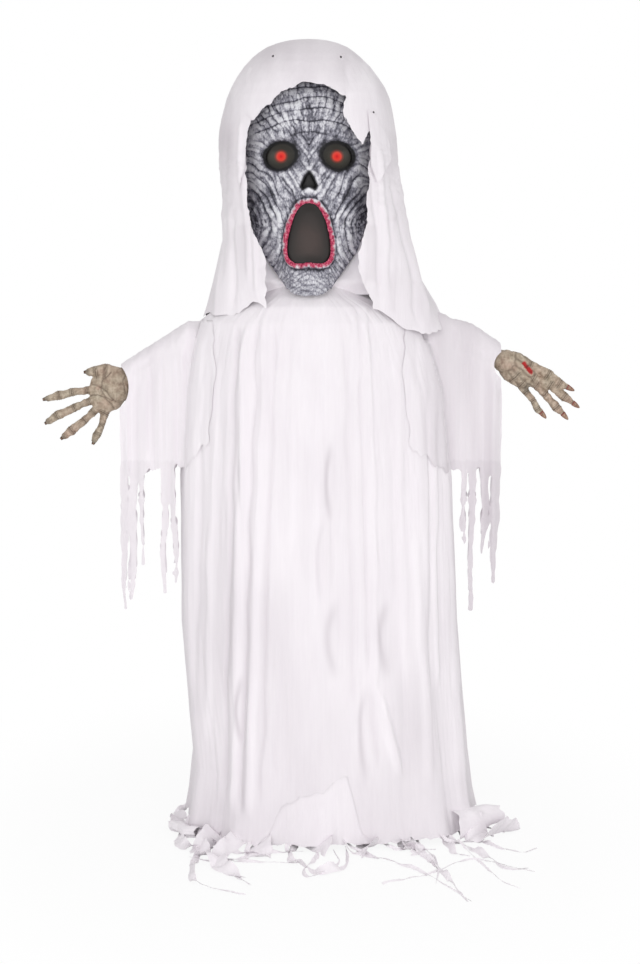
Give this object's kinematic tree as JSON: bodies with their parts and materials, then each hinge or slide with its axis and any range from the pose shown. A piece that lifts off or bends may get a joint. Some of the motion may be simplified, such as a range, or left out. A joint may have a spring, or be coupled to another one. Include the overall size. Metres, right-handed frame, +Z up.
{
  "type": "light-up ghost figure",
  "caption": "Life-size standing ghost with a wailing grey mask, red-lit eyes, ragged white hood and robe, and posable arms with hanging torn sleeves.",
  "frame": {"origin": "on the floor, at the centre of the base plate's underside, under the pole", "axes": "+Z up along the pole; the figure faces -Y; +X is the figure's left, which is the viewer's right"},
  "size_m": [1.2124, 0.6897, 1.794],
  "materials": {
    "cloth_white": "thin white gauze with a faint lavender shade",
    "cloth_inner": "the same gauze in the shade of the outer layer",
    "mask_grey": "grey moulded vinyl, dry-brushed lighter on its wrinkles, reddish lips",
    "hand_skin": "moulded vinyl with dark washed creases and reddish nails",
    "dark_mesh": "dark see-through mesh",
    "red_light": "clear red lens, lit",
    "black_steel": "black powder coat",
    "zinc_steel": "zinc-plated steel",
    "black_plastic": "black moulded plastic",
    "foam_grey": "grey closed-cell foam",
    "white_plastic": "off-white moulded plastic",
    "cell_label": "plain green sleeve, no print",
    "lead_red": "red rubber lead"
  },
  "bodies": {
    "stand": {"base_plate": "black_steel", "base_socket": "black_plastic", "base_screw_1": "zinc_steel", "base_screw_2": "zinc_steel", "base_screw_3": "zinc_steel", "base_thumb_screw": "black_plastic", "pole_lower": "zinc_steel", "pole_middle": "zinc_steel", "pole_upper": "zinc_steel", "neck_tube": "zinc_steel", "pole_coupler_lower": "black_plastic", "pole_coupler_upper": "black_plastic", "shoulder_hub": "black_plastic", "shoulder_bar_right": "zinc_steel", "shoulder_fork_right": "black_plastic", "shoulder_pin_right": "zinc_steel", "shoulder_bar_left": "zinc_steel", "shoulder_fork_left": "black_plastic", "shoulder_pin_left": "zinc_steel", "shoulder_former": "white_plastic", "robe_front": "cloth_white", "robe_back": "cloth_white", "robe_lining_front": "cloth_inner", "hem_strip_right_side": "cloth_white", "hem_strip_right_front": "cloth_white", "hem_loop_front": "cloth_white", "hem_pile_left": "cloth_white", "hem_tail_left_upper": "cloth_white", "hem_tail_left_lower": "cloth_white"},
    "head": {"skull_form": "white_plastic", "neck_socket": "black_plastic", "face_mask": "mask_grey", "eye_mesh_right": "dark_mesh", "eye_mesh_left": "dark_mesh", "nose_backing": "dark_mesh", "mouth_mesh": "dark_mesh", "eye_bar": "black_plastic", "led_holder_right": "black_plastic", "led_right": "red_light", "led_lead_right": "lead_red", "led_holder_left": "black_plastic", "led_left": "red_light", "led_lead_left": "lead_red", "battery_box": "black_plastic", "cell_right": "cell_label", "cell_left": "cell_label", "hood": "cloth_white"},
    "battery_door": {"battery_door": "black_plastic"},
    "power_switch": {"power_switch": "white_plastic"},
    "right_arm": {"arm_rod_right": "zinc_steel", "arm_foam_right": "foam_grey", "wrist_plug_right": "black_plastic", "sleeve_right": "cloth_white"},
    "left_arm": {"arm_rod_left": "zinc_steel", "arm_foam_left": "foam_grey", "wrist_plug_left": "black_plastic", "sleeve_left": "cloth_white"},
    "right_hand": {"hand_right": "hand_skin"},
    "left_hand": {"hand_left": "hand_skin"}
  },
  "joints": [
    {"name": "head_turn", "type": "hinge", "parent": "stand", "child": "head", "pos_m": [0, 0, 1.355], "axis": [0, 0, 1], "range_deg": [-30, 30], "deforming": ["hood"]},
    {"name": "right_arm_swing", "type": "hinge", "parent": "stand", "child": "right_arm", "pos_m": [-0.245, 0, 1.118], "axis": [0, 0, 1], "range_deg": [-15, 50], "deforming": ["sleeve_right"]},
    {"name": "left_arm_swing", "type": "hinge", "parent": "stand", "child": "left_arm", "pos_m": [0.245, 0, 1.118], "axis": [0, 0, -1], "range_deg": [-15, 50], "deforming": ["sleeve_left"]},
    {"name": "right_hand_twist", "type": "hinge", "parent": "right_arm", "child": "right_hand", "pos_m": [-0.422, 0, 1.026], "axis": [-0.8444, 0, -0.5358], "range_deg": [-70, 70]},
    {"name": "left_hand_twist", "type": "hinge", "parent": "left_arm", "child": "left_hand", "pos_m": [0.431, 0, 1.065], "axis": [0.9456, 0, -0.3254], "range_deg": [-70, 70]},
    {"name": "battery_door_slide", "type": "slide", "parent": "head", "child": "battery_door", "axis": [0, 0, -1], "range_m": [0, 0.085]},
    {"name": "power_switch_slide", "type": "slide", "parent": "head", "child": "power_switch", "axis": [0, 0, 1], "range_m": [-0.002, 0.002]}
  ]
}
